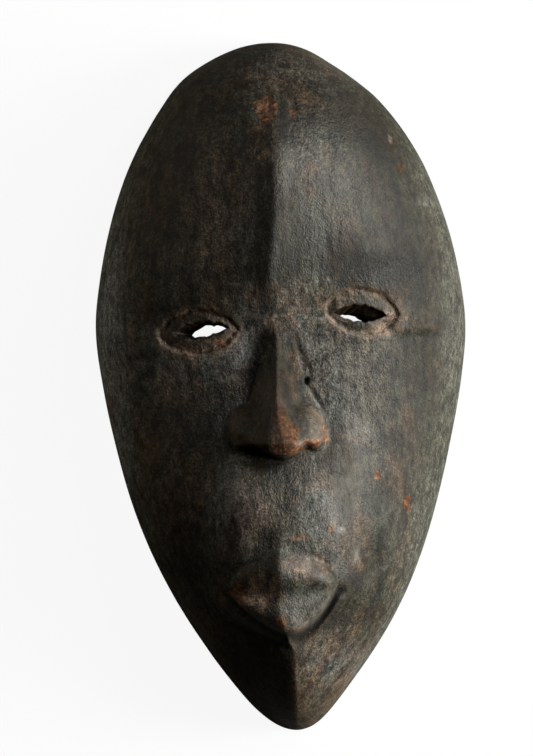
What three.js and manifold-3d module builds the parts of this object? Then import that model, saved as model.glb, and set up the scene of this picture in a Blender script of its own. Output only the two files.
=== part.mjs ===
// A face mask carved from one block of wood: hollow behind, with pierced eyes.
// It lies on its flat rim, face up. Millimetres, +Z out of the face, +Y towards the crown,
// origin on the rim plane, under the middle of the outline.

import * as THREE from "three";
import { mergeVertices } from "three/addons/utils/BufferGeometryUtils.js";
import Module from "manifold-3d";

const { smoothstep, clamp, lerp, degToRad } = THREE.MathUtils;

// Driving dimensions
const maskHeight = 240; // chin tip to crown
const maskWidth = 129; // across the temples
const faceDepth = 52; // rim plane to the plain face, without its carving
const wallThickness = 9; // wood between the face and the hollow, front to back
const rimWidth = 7; // flat band that the mask lies on
const slitLength = 18.8; // pierced eye on the face, corner to corner
const slitOpening = 6; // pierced eye on the face, lid to lid
const slitInnerLength = 12.4; // where it comes out in the hollow
const slitInnerOpening = 6;

// Facets of the surfaces
const faceColumns = 50;
const faceRows = [[0, 0], [0.16, 66], [0.88, 148], [1, 180]]; // share of the rows, degrees reached
const faceRowCount = 72;
const hollowColumns = 24;
const hollowRows = 30;
const slitSides = 20;

// The carving is free form. It is drawn for a mask of this size, and stretched to the real one.
const drawn = { width: 129, height: 240, depth: 52 };
const stretch = new THREE.Vector3(
  maskWidth / drawn.width, maskHeight / drawn.height, faceDepth / drawn.depth,
);

// The plain form along the face: [degrees from the crown, half width, depth], as shares
const stations = [
  [0, 0, 0], [10, 0.171, 0.2], [20, 0.339, 0.405], [30, 0.513, 0.6], [40, 0.662, 0.765],
  [50, 0.794, 0.89], [60, 0.893, 0.965], [70, 0.964, 1], [80, 1, 0.985], [90, 0.966, 0.955],
  [100, 0.902, 0.94], [110, 0.821, 0.94], [120, 0.716, 0.925], [130, 0.589, 0.87],
  [140, 0.449, 0.765], [150, 0.314, 0.615], [160, 0.2, 0.425], [170, 0.099, 0.21], [180, 0, 0],
];
const halfWidths = stations.map(([degrees, width]) => [degToRad(degrees), width * maskWidth / 2]);
const depths = stations.map(([degrees, , depth]) => [degToRad(degrees), depth]);

// Midlines down the face: [height up the face, distance to the right]
const outlineSway = [
  [120, -0.4], [110, -2.2], [98, -0.6], [84, 0], [48, 0.2], [30, 0], [10, 0], [-38, -0.7],
  [-84, -0.2], [-110, -0.7], [-120, 0],
];
const crestSway = [
  [120, 0], [75, 1.7], [61, 1.1], [54, -0.6], [41, -2.2], [29, -2.8], [19, -0.8], [2, -0.5],
  [-18, 0.2], [-34, 1], [-50, -1.6], [-60, -2.9], [-70, -2.9], [-80, -1], [-88, 0], [-106, 0.6],
  [-120, 0],
];

// The keel that runs down the middle: [height up the face, its own height]
const keelHeights = [
  [120, 0], [104, 0.2], [88, 2], [74, 4.4], [60, 4.8], [36, 4.4], [24, 3.2], [14, 1.4],
  [-24, 1.4], [-50, 2.6], [-78, 2.4], [-90, 4.4], [-108, 4.4], [-120, 0],
];
const keelSpread = 12; // the keel falls by two thirds over this distance
const crestWear = 0.7; // roundness that handling has left on the crests

const nose = {
  root: 21.5, tip: -18.5, rootHeight: 2.8, tipHeight: 16, rootHalfWidth: 3.6, tipHalfWidth: 16.5,
  tipWear: 3.6, underside: -23.6, nostrilOut: 8.4, nostrilWidth: 4, nostrilRise: 4.4, sideRise: 3.2,
};
const wing = { out: 9.4, up: -15.2, halfWidth: 6.4, halfLength: 8.4, height: 8.2 };
const brow = { top: 34, bottom: 18, fadeTop: 4, fadeBottom: -26, out: 38, end: 58, depth: 2.4 };
const eyes = [
  {
    x: -27, y: 18.1, halfLength: 13.9, half: 7.4, tilt: 2,
    slit: { x: -25.5, y: 19.4, tilt: 3.4 }, inner: { x: 2.6, y: -0.4, share: 1 },
  },
  {
    x: 28.4, y: 22.9, halfLength: 12.8, half: 8.3, tilt: -7,
    slit: { x: 27.9, y: 22.7, tilt: -5 }, inner: { x: -4.6, y: -2.6, share: 0.8 },
  },
];
const lid = { rise: 2.3, socket: 1.7 };
const temple = { inner: 41, outer: 54.5, bottom: 16, top: 26.5, edge: 1.6, height: 0.9, drop: 4 };
const muzzle = { height: 6.6, halfWidth: 22, top: -16, full: -50, bottom: -88, edge: 8 };
const mouth = {
  x: -2.6, y: -67.5, halfWidth: 19.2, upper: 14.2, upperSlope: 0.4, lower: 16, lowerBow: 1.3,
  upperLip: 3.4, lowerLip: 4.6, groove: 2.4, grooveWidth: 2,
};
const fold = { x0: 35, y0: -48, x1: 26.5, y1: -63, depth: 1.3, width: 2 };

// Deeper gouging behind the nose and mouth
const recess = { width: 15, bottom: -84, full: -54, top: -12, end: 14, depth: 5 };

// A smooth curve through [place, value] pairs, level past its ends
function through(pairs, place) {
  const last = pairs.length - 1;
  const between = ([start], i) => i < last && (place - start) * (place - pairs[i + 1][0]) <= 0;
  const at = pairs.findIndex(between);
  if (at < 0) {
    const nearFirst = Math.abs(place - pairs[0][0]) < Math.abs(place - pairs[last][0]);
    return nearFirst ? pairs[0][1] : pairs[last][1];
  }
  const slope = (i) => {
    const [a, b] = [pairs[Math.max(i - 1, 0)], pairs[Math.min(i + 1, last)]];
    return (b[1] - a[1]) / (b[0] - a[0]);
  };
  const step = pairs[at + 1][0] - pairs[at][0];
  const part = (place - pairs[at][0]) / step;
  const lean = (1 - part) * slope(at) - part * slope(at + 1);
  const level = lerp(pairs[at][1], pairs[at + 1][1], part * part * (3 - 2 * part));
  return level + step * part * (1 - part) * lean;
}

const bell = (value, width) => Math.exp(-((value / width) ** 2));
const worn = (distance, wear = crestWear) => Math.hypot(distance, wear) - wear;
const fillet = (value, radius) => (value + Math.hypot(value, radius)) / 2;
const union = (a, b, radius) => (a + b + Math.hypot(a - b, radius) - radius) / 2;

// 1 between two edges and 0 past them, with a soft step outside each
function within(value, low, high, edgeLow, edgeHigh) {
  return smoothstep(value, low - edgeLow, low) * (1 - smoothstep(value, high, high + edgeHigh));
}

// Distance from the outline of an almond: 0 at its middle, 1 on its outline
function almond(x, y, { x: middleX, y: middleY, tilt, halfLength, half }) {
  const [turnX, turnY] = [Math.cos(degToRad(tilt)), Math.sin(degToRad(tilt))];
  const along = (x - middleX) * turnX + (y - middleY) * turnY;
  const across = (y - middleY) * turnX - (x - middleX) * turnY;
  return Math.abs(across) / half + (along / halfLength) ** 2;
}

function keelCarving(out, y) {
  return through(keelHeights, y) * Math.exp(-worn(out) / keelSpread);
}

function noseCarving(out, y) {
  const down = clamp((nose.root - y) / (nose.root - nose.tip), 0, 1);
  const height = lerp(nose.rootHeight, nose.tipHeight, down) * smoothstep(nose.root - y, -2, 1.5);
  const halfWidth = lerp(nose.rootHalfWidth, nose.tipHalfWidth, down);
  const bridge = height * fillet(1 - worn(out, lerp(crestWear, nose.tipWear, down ** 2)) / halfWidth, 0.1);
  const [wingX, wingY] = [(Math.abs(out) - wing.out) / wing.halfWidth, (y - wing.up) / wing.halfLength];
  const flare = wing.height * Math.sqrt(Math.max(0, 1 - wingX ** 2 - wingY ** 2));
  const arch = nose.nostrilRise * bell(Math.abs(out) - nose.nostrilOut, nose.nostrilWidth);
  const floor = nose.underside + arch + nose.sideRise * smoothstep(Math.abs(out), 9, 15);
  return union(bridge, flare, 0.8) * smoothstep(y, floor - 1.4, floor + 0.6);
}

function browCarving(x, y) {
  const band = within(y, brow.fadeTop, brow.bottom, brow.fadeTop - brow.fadeBottom, brow.top - brow.bottom);
  return -brow.depth * band * (1 - smoothstep(Math.abs(x), brow.out, brow.end));
}

function eyeCarving(x, y) {
  let height = 0;
  for (const eye of eyes) {
    const ring = almond(x, y, eye);
    height += lid.rise * Math.sqrt(Math.max(0, 1 - ring)) - lid.socket * (1 - smoothstep(ring, 0.9, 1.12));
  }
  return height;
}

// A flat band runs out from each eye, lower on the left as that eye is.
function templeCarving(x, y) {
  const up = x > 0 ? y : y + temple.drop;
  const along = within(Math.abs(x), temple.inner, temple.outer - temple.edge, 6, temple.edge);
  const across = within(up, temple.bottom, temple.top - 4, temple.edge, 4);
  return temple.height * (x > 0 ? 1 : 0.5) * along * across;
}

function muzzleCarving(out, y) {
  const along = within(y, muzzle.bottom + muzzle.edge, muzzle.full, muzzle.edge, muzzle.top - muzzle.full);
  return muzzle.height * along * Math.exp(-((out / muzzle.halfWidth) ** 4));
}

// A lip swells from the mouth line (part 0) to its crest and falls to its edge (part 1).
function lipSwell(part, crest) {
  if (part <= 0 || part >= 1) return 0;
  const away = part < crest ? (crest - part) / crest : (part - crest) / (1 - crest);
  return (1 - away ** 2.4) ** 0.6;
}

function mouthCarving(x, y) {
  const side = Math.min(Math.abs(x - mouth.x) / mouth.halfWidth, 1);
  const upper = mouth.upper * (1 - mouth.upperSlope * side) * Math.sqrt(1 - side ** 5);
  const lower = mouth.lower * (1 - side ** mouth.lowerBow);
  const up = y - mouth.y;
  const lips =
    mouth.upperLip * lipSwell(up / Math.max(upper, 0.5), 0.55) +
    mouth.lowerLip * lipSwell(-up / Math.max(lower, 0.5), 0.65);
  const reach = 1 - smoothstep(Math.abs(x - mouth.x) / mouth.halfWidth, 0.98, 1.2);
  return lips - mouth.groove * bell(up + lower + mouth.grooveWidth, mouth.grooveWidth) * reach;
}

// A crease in each cheek beside the mouth
function foldCarving(x, y) {
  const [runX, runY] = [fold.x1 - fold.x0, fold.y1 - fold.y0];
  const [fromX, fromY] = [Math.abs(x) - fold.x0, y - fold.y0];
  const part = clamp((fromX * runX + fromY * runY) / (runX ** 2 + runY ** 2), 0, 1);
  return -fold.depth * bell(Math.hypot(fromX - part * runX, fromY - part * runY), fold.width);
}

function outlineAt(angle) {
  const y = (maskHeight / 2) * Math.cos(angle);
  const middle = through(outlineSway, y / stretch.y) * stretch.x;
  return { y, middle, halfWidth: through(halfWidths, angle) };
}

// Plain dome over a place: share is -1 at the left outline and 1 at the right.
function domeHeight(share, angle, depth) {
  const roofed = smoothstep(angle, degToRad(115), degToRad(150)); // the chin is more of a roof
  const flank = Math.max(0, 1 - Math.min(Math.abs(share), 1) ** lerp(2.5, 1.7, roofed));
  return depth * through(depths, angle) * flank ** lerp(0.45, 0.55, roofed);
}

function faceHeight(realX, realY) {
  const angle = Math.acos(clamp(realY / (maskHeight / 2), -1, 1));
  const { middle, halfWidth } = outlineAt(angle);
  const share = halfWidth > 0 ? (realX - middle) / halfWidth : 1;
  const [x, y] = [realX / stretch.x, realY / stretch.y];
  const out = x - through(crestSway, y);
  const carving =
    keelCarving(out, y) + noseCarving(out, y) + browCarving(x, y) + eyeCarving(x, y) +
    templeCarving(x, y) + muzzleCarving(out, y) + mouthCarving(x, y) + foldCarving(x, y);
  const fade = (1 - smoothstep(Math.abs(share), 0.8, 1)) * smoothstep(Math.sin(angle), 0, 0.2);
  return domeHeight(share, angle, faceDepth) + carving * stretch.z * fade;
}

function hollowHeight(share, x, y, angle) {
  const behindNose = bell(x / stretch.x, recess.width);
  const along = within(y / stretch.y, recess.full, recess.top, recess.full - recess.bottom, recess.end - recess.top);
  const deeper = recess.depth * stretch.z * behindNose * along * (1 - Math.abs(share)) ** 0.5;
  return domeHeight(share, angle, faceDepth - wallThickness) + deeper;
}

// A closed form over a flat underside. Its last column of facets is the underside,
// and each four-sided facet is split along its more level diagonal, which follows the carving.
function closedForm(columns, rows, pointAt) {
  const geometry = new THREE.SphereGeometry(1, columns + 1, rows);
  const places = geometry.attributes.position;
  for (let row = 0; row <= rows; row++) {
    for (let column = 0; column <= columns + 1; column++) {
      const point = pointAt(column > columns ? 0 : column, row);
      places.setXYZ(row * (columns + 2) + column, ...point);
    }
  }
  const { index } = geometry;
  const level = (a, b) => Math.abs(places.getZ(a) - places.getZ(b));
  for (let i = 3 * (columns + 1); i < index.count - 3 * (columns + 1); i += 6) {
    const [a, b, c, d] = [i, i + 1, i + 4, i + 5].map((corner) => index.getX(corner));
    if (level(a, c) < level(b, d)) {
      index.array.set([a, b, c, a, c, d], i);
    }
  }
  return geometry;
}

function faceForm() {
  return closedForm(faceColumns, faceRowCount, (column, row) => {
    const place = row / faceRowCount;
    const band = Math.max(faceRows.findIndex(([reached]) => reached >= place), 1);
    const [[from, start], [to, end]] = [faceRows[band - 1], faceRows[band]];
    const angle = degToRad(lerp(start, end, (place - from) / (to - from)));
    const across = 2 * column / faceColumns - 1;
    const { y, middle, halfWidth } = outlineAt(angle);
    const toRim = across * (1.12 - 0.12 * across ** 2);
    const sway = through(crestSway, y / stretch.y) * stretch.x - middle;
    const held = (1 - Math.abs(toRim)) ** 2 * smoothstep(Math.sin(angle), 0, 0.2);
    const x = middle + halfWidth * toRim + sway * held;
    const onRim = Math.abs(across) === 1 || row === 0 || row === faceRowCount;
    return [x, y, onRim ? 0 : faceHeight(x, y)];
  });
}

// The outline set in by the rim's width
function hollowOutline(angle) {
  const step = 0.01;
  const [before, here, after] = [angle - step, angle, angle + step].map((a) => outlineAt(clamp(a, 0, Math.PI)));
  const run = new THREE.Vector2(after.halfWidth - before.halfWidth, after.y - before.y).normalize();
  const halfWidth = Math.max(here.halfWidth + rimWidth * run.y, 0);
  return { middle: here.middle, halfWidth, y: here.y - rimWidth * run.x };
}

function hollowForm() {
  const below = -2; // it comes out through the rim plane
  return closedForm(hollowColumns, hollowRows, (column, row) => {
    const angle = Math.PI * row / hollowRows;
    const { y, middle, halfWidth } = hollowOutline(angle);
    const share = clamp(-Math.cos(Math.PI * (column - 1) / (hollowColumns - 2)), -1, 1);
    const pole = row === 0 || row === hollowRows;
    if (pole) return [middle, y, below];
    const x = middle + halfWidth * share;
    if (column === 0) return [middle - halfWidth, y, below];
    if (column === hollowColumns) return [middle + halfWidth, y, below];
    return [x, y, Math.abs(share) === 1 ? 0 : hollowHeight(share, x, y, angle)];
  });
}

// The hole through one eye: pointed at both ends, and shifted towards the nose inside.
function slitForm({ slit, inner }) {
  const overshoot = 12;
  const geometry = new THREE.CylinderGeometry(1, 1, 2, slitSides).rotateX(Math.PI / 2);
  const places = geometry.attributes.position;
  const tilt = degToRad(slit.tilt);
  const lens = (centre, length, opening, cosine, sine) => {
    const [along, across] = [cosine * length / 2, sine * Math.abs(sine) * opening / 2];
    return new THREE.Vector2(along, across).rotateAround(new THREE.Vector2(), tilt).add(centre);
  };
  const centre = new THREE.Vector2(slit.x * stretch.x, slit.y * stretch.y);
  const innerCentre = centre.clone().add(new THREE.Vector2(inner.x, inner.y));
  for (let i = 0; i < places.count; i++) {
    const [cosine, sine] = [places.getX(i), places.getY(i)];
    const front = lens(centre, slitLength, slitOpening, cosine, sine);
    const back = lens(innerCentre, slitInnerLength * inner.share, slitInnerOpening, cosine, sine);
    const angle = Math.acos(back.y / (maskHeight / 2));
    const { middle, halfWidth } = outlineAt(angle);
    const share = (back.x - middle) / (halfWidth - rimWidth);
    const outside = new THREE.Vector3(front.x, front.y, faceHeight(front.x, front.y));
    const inside = new THREE.Vector3(back.x, back.y, hollowHeight(share, back.x, back.y, angle));
    const reach = outside.clone().sub(inside).setLength(overshoot);
    const point = places.getZ(i) > 0 ? outside.add(reach) : inside.sub(reach);
    places.setXYZ(i, point.x, point.y, point.z);
  }
  return geometry;
}

const wasm = await Module();
wasm.setup();

function solidFrom(geometry) {
  geometry.deleteAttribute("normal");
  geometry.deleteAttribute("uv");
  const merged = mergeVertices(geometry, 1e-4);
  const vertProperties = new Float32Array(merged.attributes.position.array);
  const triVerts = new Uint32Array(merged.index.array);
  return new wasm.Manifold(new wasm.Mesh({ numProp: 3, vertProperties, triVerts }));
}

function geometryFrom(solid) {
  const { vertProperties, triVerts } = solid.getMesh();
  const geometry = new THREE.BufferGeometry();
  geometry.setAttribute("position", new THREE.BufferAttribute(new Float32Array(vertProperties), 3));
  geometry.setIndex(new THREE.BufferAttribute(new Uint32Array(triVerts), 1));
  geometry.computeVertexNormals();
  return geometry;
}

function carvedMask() {
  let solid = solidFrom(faceForm()).subtract(solidFrom(hollowForm()));
  for (const eye of eyes) {
    solid = solid.subtract(solidFrom(slitForm(eye)));
  }
  const darkWood = new THREE.MeshStandardMaterial({ color: 0x2b2722, roughness: 0.55, metalness: 0 });
  const mesh = new THREE.Mesh(geometryFrom(solid), darkWood);
  mesh.name = "carved_mask";
  return mesh;
}

const mask = new THREE.Group();
mask.add(carvedMask());

export default mask;
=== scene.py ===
import math
import bmesh
import bpy
import numpy as np
from mathutils import Matrix, Vector


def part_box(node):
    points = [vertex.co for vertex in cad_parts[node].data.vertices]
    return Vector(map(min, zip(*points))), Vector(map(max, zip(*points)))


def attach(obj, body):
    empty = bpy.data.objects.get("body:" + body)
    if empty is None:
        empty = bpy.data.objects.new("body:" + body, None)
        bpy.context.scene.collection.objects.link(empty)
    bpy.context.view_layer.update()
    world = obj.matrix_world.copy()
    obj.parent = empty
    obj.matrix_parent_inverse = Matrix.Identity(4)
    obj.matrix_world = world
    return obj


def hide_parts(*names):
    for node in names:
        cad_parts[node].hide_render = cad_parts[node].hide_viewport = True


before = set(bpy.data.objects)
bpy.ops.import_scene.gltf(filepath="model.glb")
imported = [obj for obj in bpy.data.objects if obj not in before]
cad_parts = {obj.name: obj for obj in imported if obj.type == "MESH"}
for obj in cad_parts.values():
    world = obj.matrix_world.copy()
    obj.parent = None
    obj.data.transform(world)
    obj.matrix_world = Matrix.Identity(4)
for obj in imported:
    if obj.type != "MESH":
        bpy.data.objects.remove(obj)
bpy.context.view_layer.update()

# A carved face mask lying on its rim, seen from above. The carving is worked out in millimetres,
# in the frame's own axes: +Z out of the face, +Y towards the crown. Meshes are in metres.
mm = 0.001
boxLow, boxHigh = [np.array(corner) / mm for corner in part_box("carved_mask")]
drawn = dict(width=129.0, height=240.0)
maskHeight = boxHigh[1] - boxLow[1]
maskWidth = boxHigh[0] - boxLow[0]
stretchX, stretchY = maskWidth / drawn["width"], maskHeight / drawn["height"]
print("frame loaded, mask of", round(maskWidth), "by", round(maskHeight), "mm")


# helpers for smooth forms
def smoothStep(value, low, high):
    t = np.clip((value - low) / (high - low), 0, 1)
    return t * t * (3 - 2 * t)


def bell(value, width):
    return np.exp(-(value / width) ** 2)


def within(value, low, high, edgeLow, edgeHigh):
    return smoothStep(value, low - edgeLow, low) * (1 - smoothStep(value, high, high + edgeHigh))


def through(pairs, place):
    # smooth curve through [place, value] pairs, level past its ends
    p, v = np.array(sorted(pairs), float).T
    slope = np.gradient(v)
    slope[1:-1] = (v[2:] - v[:-2]) / (p[2:] - p[:-2])
    slope[0], slope[-1] = (v[1] - v[0]) / (p[1] - p[0]), (v[-1] - v[-2]) / (p[-1] - p[-2])
    place = np.clip(place, p[0], p[-1])
    at = np.clip(np.searchsorted(p, place) - 1, 0, len(p) - 2)
    step = p[at + 1] - p[at]
    part = (place - p[at]) / step
    level = v[at] + (v[at + 1] - v[at]) * part * part * (3 - 2 * part)
    return level + step * part * (1 - part) * ((1 - part) * slope[at] - part * slope[at + 1])


def lumps(x, y, sizeX, sizeY, seed):
    # soft random unevenness from -1 to 1, with lumps of about sizeX by sizeY
    table = np.random.default_rng(seed).uniform(-1, 1, (512, 512))
    u, v = x / sizeX + 200.0, y / sizeY + 200.0
    i, j = np.floor(u).astype(int), np.floor(v).astype(int)
    fu, fv = u - i, v - j
    fu, fv = fu * fu * (3 - 2 * fu), fv * fv * (3 - 2 * fv)
    i, j = i % 511, j % 511
    near = table[i, j] * (1 - fu) + table[i + 1, j] * fu
    far = table[i, j + 1] * (1 - fu) + table[i + 1, j + 1] * fu
    return near * (1 - fv) + far * fv


def alongLine(x, y, points):
    # distance to a line through points, and how far along it, from 0 to 1
    best, part = np.full(np.shape(x), 1e9), np.zeros(np.shape(x))
    count = len(points) - 1
    for k in range(count):
        (ax, ay), (bx, by) = points[k], points[k + 1]
        run = ((x - ax) * (bx - ax) + (y - ay) * (by - ay)) / ((bx - ax) ** 2 + (by - ay) ** 2)
        run = np.clip(run, 0, 1)
        away = np.hypot(x - ax - run * (bx - ax), y - ay - run * (by - ay))
        closer = away < best
        best, part = np.where(closer, away, best), np.where(closer, (k + run) / count, part)
    return best, part


# the plain form along the face: [degrees from the crown, half width, depth], as shares
form = dict(
    faceDepth=52.0, wall=9.0, rim=7.0,
    stations=[
        [0, 0, 0], [10, 0.171, 0.2], [20, 0.339, 0.405], [30, 0.513, 0.6], [40, 0.662, 0.765],
        [50, 0.794, 0.89], [60, 0.893, 0.965], [70, 0.964, 1], [80, 1, 0.985], [90, 0.966, 0.955],
        [100, 0.902, 0.94], [110, 0.821, 0.94], [120, 0.716, 0.925], [130, 0.589, 0.87],
        [140, 0.449, 0.765], [150, 0.314, 0.615], [160, 0.2, 0.425], [170, 0.099, 0.21], [180, 0, 0],
    ],
    outlineSway=[
        [120, -0.4], [110, -2.2], [98, -0.6], [84, 0], [48, 0.2], [30, 0], [10, 0], [-38, -0.7],
        [-84, -0.2], [-110, -0.7], [-120, 0],
    ],
    crestSway=[
        [120, 0], [75, 0.3], [66, 0.0], [57, -0.4], [47, -1.8], [38, -3.5], [29, -4.3], [24, -3.9],
        [19, -2.8], [13, -2.6], [4, -3.0], [-6, -3.4], [-14, -2.7], [-24, -1.0], [-36, -1.6],
        [-48, -2.6], [-57, -4.6], [-65, -3.6], [-72, -4.8], [-80, -3.0], [-88, -0.7], [-106, 0],
        [-120, 0],
    ],
    edgeRound=0.7,
)
keel = dict(
    spread=12.0, leftSpread=[[-6, 12], [-26, 34], [-50, 34], [-60, 12]],
    wear=[[80, 2.2], [50, 1.2], [30, 0.7], [-24, 0.7], [-40, 1.8], [-50, 1.2], [-58, 3.0],
          [-78, 2.6], [-86, 0.8], [-110, 0.5]],
    heights=[
        [120, 0], [104, 0.2], [88, 2], [74, 4.4], [60, 4.8], [44, 4.6], [36, 3.6], [28, 1.6], [20, 0.7],
        [-20, 1.2], [-34, 2.6], [-48, 3.0], [-56, 3.4], [-78, 3.0], [-90, 4.4], [-108, 4.4], [-120, 0],
    ],
)
nose = dict(
    root=21.5, tip=-18.5, rootHeight=0.5, tipHeight=18.8, saddleBack=1.7, rootFade=(-3, 5),
    rootReach=4.0, tipReach=13.2, flare=1.4, hollowSides=1.1, tipRound=0.33, tipSpan=(12, 23),
    leftWear=(1.0, 6.0), rightWear=(2.2, 4.0), leftPower=1.9, rightPower=1.3,
    underside=-23.0, nostrilOut=8.0, nostrilWidth=4.0, nostrilRise=4.6, leftNostril=0.6,
    sideRise=3.6, leftRiseStart=4, rightRiseStart=9, fullRise=15,
    wingOut=9.0, wingUp=-14.2, wingHalf=7.8, wingLong=9.0, wingHeight=9.4, wingBlend=3.8,
)
brow = dict(top=34, bottom=18, fadeTop=4, fadeBottom=-26, out=38, end=58, depth=2.4, saddle=0.6)
basin = dict(
    left=7.5, right=10.5, width=7.0, top=15, rise=10, bottom=-6, end=15, depth=2.0, rightShare=0.5,
)
eyes = [
    dict(
        x=-27.9, y=19.3, halfLength=13.4, half=7.0, tilt=2,
        slitX=-26.4, slitY=20.1, slitTilt=3.4, slitOpening=5.8,
        innerX=-23.3, innerY=18.9, innerLength=11.6, innerOpening=4.9, ledge=-24.2, step=0.55,
    ),
    dict(
        x=27.0, y=23.7, halfLength=12.1, half=7.3, tilt=-7,
        slitX=26.0, slitY=23.2, slitTilt=-5, slitOpening=5.6,
        innerX=21.9, innerY=20.0, innerLength=10.4, innerOpening=5.6, ledge=25.4, step=0.4,
    ),
]
lid = dict(rise=2.0, socket=1.5, slitLength=18.8, line=0.4, rough=0.35, waver=0.07)
temple = dict(inner=41, outer=54.5, bottom=16, top=26.5, edge=1.3, height=1.6, drop=4)
muzzle = dict(height=6.6, half=23.5, top=-16, full=-50, bottom=-88, edge=8)
mouth = dict(
    x=-3.5, y=-67.0, half=18.6, upper=13.8, upperSlope=0.4, lower=15.4, lowerBow=1.6,
    upperLip=3.2, lowerLip=4.6, groove=2.8, grooveWidth=1.7, grooveOut=1.2, parting=2.2,
    point=0.4, ridge=1.0, ridgeSpread=5.0,
    upperCrest=0.32, upperEdge=1.5, lowerCrest=0.62, lowerEdge=0.9,
)
fold = dict(path=[(29.5, -46), (29, -54), (27.5, -60), (25, -64), (21, -66)], depth=1.7, width=3.0)
recess = dict(width=15, bottom=-84, full=-54, top=-12, end=14, depth=5)

stationAngles = np.radians([row[0] for row in form["stations"]])
halfWidths = [[a, row[1] * maskWidth / 2] for a, row in zip(stationAngles, form["stations"])]
depthShares = [[a, row[2]] for a, row in zip(stationAngles, form["stations"])]


def outlineAt(angle):
    y = maskHeight / 2 * np.cos(angle)
    middle = through(form["outlineSway"], y / stretchY) * stretchX
    return y, middle, np.maximum(through(halfWidths, angle), 0)


def domeHeight(share, angle, depth):
    roofed = smoothStep(angle, math.radians(115), math.radians(150))
    flank = np.maximum(0, 1 - np.minimum(np.abs(share), 1) ** (2.5 - 0.8 * roofed))
    return depth * through(depthShares, angle) * flank ** (0.45 + 0.1 * roofed)


def worn(distance, wear):
    return np.hypot(distance, wear) - wear


def almond(x, y, eye):
    # 0 in the middle of an eye, 1 on its outline
    c, s = math.cos(math.radians(eye["tilt"])), math.sin(math.radians(eye["tilt"]))
    along = (x - eye["x"]) * c + (y - eye["y"]) * s
    across = (y - eye["y"]) * c - (x - eye["x"]) * s
    return np.abs(across / eye["half"]) ** 1.2 + np.abs(along / eye["halfLength"]) ** 2.3


def noseForm(out, y):
    down = np.clip((nose["root"] - y) / (nose["root"] - nose["tip"]), 0, 1)
    height = nose["rootHeight"] + (nose["tipHeight"] - nose["rootHeight"]) * down ** nose["saddleBack"]
    blunt = nose["tipRound"] * smoothStep(-y, *nose["tipSpan"]) ** 2
    height = height * smoothStep(nose["root"] - y, *nose["rootFade"]) * (1 - blunt)
    reach = nose["rootReach"] + (nose["tipReach"] - nose["rootReach"]) * down ** nose["flare"]
    # sharp at the root, broad and round at the tip, more so on the left
    start, end = [np.where(out < 0, nose["leftWear"][k], nose["rightWear"][k]) for k in (0, 1)]
    wear = start + (end - start) * down ** 2
    power = 1 + (np.where(out < 0, nose["leftPower"], nose["rightPower"]) - 1) * down ** 2
    side = 1 - (worn(out, wear) / worn(reach, wear)) ** power
    bridge = height * np.maximum((side + np.hypot(side, 0.05) - 0.02) / 2, 0) ** nose["hollowSides"]
    wingX = (np.abs(out) - nose["wingOut"]) / nose["wingHalf"]
    wingY = (y - nose["wingUp"]) / nose["wingLong"]
    wing = nose["wingHeight"] * np.maximum(0, 1 - wingX ** 2 - wingY ** 2) ** 0.65
    arch = nose["nostrilRise"] * bell(np.abs(out) - nose["nostrilOut"], nose["nostrilWidth"])
    arch = arch * np.where(out > 0, 1, nose["leftNostril"])
    riseStart = np.where(out < 0, nose["leftRiseStart"], nose["rightRiseStart"])
    aside = smoothStep(np.abs(out), riseStart, nose["fullRise"])
    under = nose["underside"] + arch + nose["sideRise"] * aside
    soft = nose["wingBlend"]
    whole = (bridge + wing + np.hypot(bridge - wing, soft) - soft) / 2
    return whole * smoothStep(y, under - 1.4 - 1.6 * smoothStep(out, 2, 7), under + 0.8)


def eyeForm(x, y):
    height = 0
    for eye in eyes:
        ring = almond(x, y, eye) + lid["waver"] * lumps(x, y, 3.4, 1.8, 41)
        height = height + lid["rise"] * np.sqrt(np.maximum(0, 1 - ring))
        height = height - lid["socket"] * (1 - smoothStep(ring, 0.9, 1.12))
        above = 0.35 + 0.65 * smoothStep(y - eye["y"], -3, 3)
        height = height - lid["line"] * above * bell(ring - 1.02, 0.07)
    return height


def templeForm(x, y):
    up = np.where(x > 0, y, y + temple["drop"])
    along = within(np.abs(x), temple["inner"], temple["outer"] - 4, 6, 4 + temple["edge"])
    across = within(up, temple["bottom"] + 2, temple["top"] - 4, 2 + temple["edge"], 5)
    return temple["height"] * np.where(x > 0, 1, 0.5) * along * across


def lipSwell(part, crest, edge, parting):
    # from its share of the height where the lips meet, over its crest, down to its edge
    rising = parting + (1 - parting) * smoothStep(part, 0, crest)
    falling = np.maximum(1 - (np.abs(part - crest) / (1 - crest)) ** 2.4, 0) ** edge
    return np.where((part > 0) & (part < 1), np.where(part < crest, rising, falling), 0)


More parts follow.
